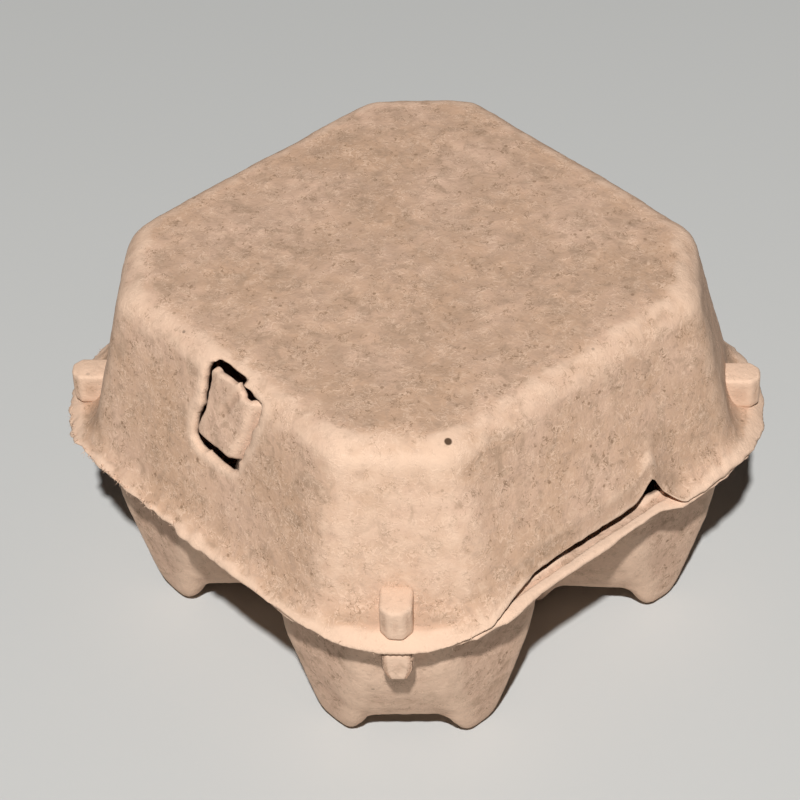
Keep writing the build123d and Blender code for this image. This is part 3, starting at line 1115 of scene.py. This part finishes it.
def make_lights(scene):
    """One round light over the camera's side and a weak even world."""
    middle = Vector((0, 0, 0.035))
    distance, disk, power, fill = 1.8, 0.06, 42, 0.025
    bearing, elevation = radians(47), radians(54)
    towards = Vector((sin(bearing) * cos(elevation), -cos(bearing) * cos(elevation), sin(elevation)))
    area_light("key_softbox", middle + towards * distance, middle, disk, power)
    world = scene.world or bpy.data.worlds.new("world")
    scene.world = world
    world.use_nodes = True
    background = world.node_tree.nodes["Background"]
    background.inputs["Color"].default_value = (1, 1, 1, 1)
    background.inputs["Strength"].default_value = fill
    scene.view_settings.view_transform = "Standard"


def make_camera(scene):
    """Camera on the front right corner, looking down about forty degrees."""
    bearing, elevation, roll = radians(49.78), radians(40.41), radians(-2.68)
    back = Vector((sin(bearing) * cos(elevation), -cos(bearing) * cos(elevation), sin(elevation)))
    right = Vector((cos(bearing), sin(bearing), 0))
    up = back.cross(right)
    rolled_right = right * cos(roll) + up * sin(roll)
    rolled_up = up * cos(roll) - right * sin(roll)
    aim, aside, above, distance = Vector((0, 0, 35)), -2.72, 2.96, 508
    place = aim + right * aside + up * above + back * distance
    data = bpy.data.cameras.new("camera")
    data.lens = 122.4
    data.sensor_width = 36
    data.clip_start = 0.01
    camera = bpy.data.objects.new("camera", data)
    turn = Matrix((rolled_right, rolled_up, back)).transposed()
    camera.matrix_world = Matrix.Translation(place * MM) @ turn.to_4x4()
    scene.collection.objects.link(camera)
    scene.camera = camera


# --- Operators ---

class CARTON_OT_lid(bpy.types.Operator):
    """Model the lid: roof, walls, flange, window and sprung edge"""
    bl_idname = "carton.lid"
    bl_label = "Lid"

    def execute(self, context):
        piece, bm = make_lid(context.scene.carton_sizes)
        finish_piece(piece, bm, "lid", "lid_pulp", ["lid_roof", "lid_walls", "lid_flange"])
        return {"FINISHED"}


class CARTON_OT_tray(bpy.types.Operator):
    """Model the tray: cups with feet, deck, post and flange"""
    bl_idname = "carton.tray"
    bl_label = "Tray"

    def execute(self, context):
        piece, bm = make_tray(context.scene.carton_sizes)
        nodes = ["cup_front_left", "cup_front_right", "cup_rear_left", "cup_rear_right", "tray_deck",
                 "tray_flange", "centre_post"]
        finish_piece(piece, bm, "tray", "tray_pulp", nodes)
        return {"FINISHED"}


class CARTON_OT_lugs(bpy.types.Operator):
    """Model the corner columns on the lid and the knobs under the tray's flange"""
    bl_idname = "carton.lugs"
    bl_label = "Corner lugs"

    def execute(self, context):
        sizes = context.scene.carton_sizes
        piece, bm = make_lid_lugs(sizes)
        finish_piece(piece, bm, "lid", "lid_pulp", ["lid_corner_lugs"])
        piece, bm = make_tray_lugs(sizes)
        finish_piece(piece, bm, "tray", "tray_pulp", ["tray_corner_lugs"])
        return {"FINISHED"}


class CARTON_OT_lock(bpy.types.Operator):
    """Model the lock: the tongue and its crumpled button"""
    bl_idname = "carton.lock"
    bl_label = "Lock"

    def execute(self, context):
        piece, bm = make_lock(context.scene.carton_sizes)
        finish_piece(piece, bm, "lock_flap", "lock_pulp", ["lock_tongue", "lock_button"])
        return {"FINISHED"}


class CARTON_OT_folds(bpy.types.Operator):
    """Model the two living hinges"""
    bl_idname = "carton.folds"
    bl_label = "Folds"

    def execute(self, context):
        web = make_rear_web()
        finish_piece(web, open_mesh(web), None, "tray_pulp", ["rear_hinge"])
        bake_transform(web)
        fold = make_tongue_fold()
        finish_piece(fold, open_mesh(fold), "tray", "tray_pulp", ["tongue_fold"])
        return {"FINISHED"}


class CARTON_OT_fibres(bpy.types.Operator):
    """Add the loose fibres along the torn edges"""
    bl_idname = "carton.fibres"
    bl_label = "Fibres"

    def execute(self, context):
        sizes = context.scene.carton_sizes
        for name, body, height, inset, share, seed in (
                ("lid_fibres", "lid", LID_UNDER + 0.7, 0, 0.75, 5),
                ("tray_fibres", "tray", CLOSING_FACE - 0.6, TRAY_INSET, 0.25, 6)):
            piece = make_fibres(name, height, inset, int(sizes.fibres * share), seed, sizes)
            finish_piece(piece, open_mesh(piece), body, body + "_pulp", [])
        return {"FINISHED"}


class CARTON_OT_stage(bpy.types.Operator):
    """Set up the floor, the light and the camera"""
    bl_idname = "carton.stage"
    bl_label = "Stage"

    def execute(self, context):
        make_floor(context.scene.carton_colours)
        make_lights(context.scene)
        make_camera(context.scene)
        return {"FINISHED"}


class CARTON_PT_panel(bpy.types.Panel):
    """Lists the carton's pieces in the sidebar"""
    bl_label = "Egg carton"
    bl_idname = "CARTON_PT_panel"
    bl_space_type = "VIEW_3D"
    bl_region_type = "UI"
    bl_category = "Carton"

    def draw(self, context):
        for operator in OPERATORS:
            self.layout.operator(operator.bl_idname)
        for group in (context.scene.carton_sizes, context.scene.carton_colours):
            for name in group.__annotations__:
                self.layout.prop(group, name)


OPERATORS = (CARTON_OT_lid, CARTON_OT_tray, CARTON_OT_lugs, CARTON_OT_lock, CARTON_OT_folds, CARTON_OT_fibres,
             CARTON_OT_stage)
CLASSES = (CartonSizes, CartonColours) + OPERATORS + (CARTON_PT_panel,)


def register():
    for item in CLASSES:
        bpy.utils.register_class(item)
    bpy.types.Scene.carton_sizes = PointerProperty(type=CartonSizes)
    bpy.types.Scene.carton_colours = PointerProperty(type=CartonColours)


def unregister():
    del bpy.types.Scene.carton_colours
    del bpy.types.Scene.carton_sizes
    for item in reversed(CLASSES):
        bpy.utils.unregister_class(item)


def main():
    register()
    bpy.ops.carton.stage()
    bpy.ops.carton.lid()
    bpy.ops.carton.tray()
    bpy.ops.carton.lugs()
    bpy.ops.carton.lock()
    bpy.ops.carton.folds()
    bpy.ops.carton.fibres()
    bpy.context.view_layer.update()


if __name__ == "__main__":
    main()
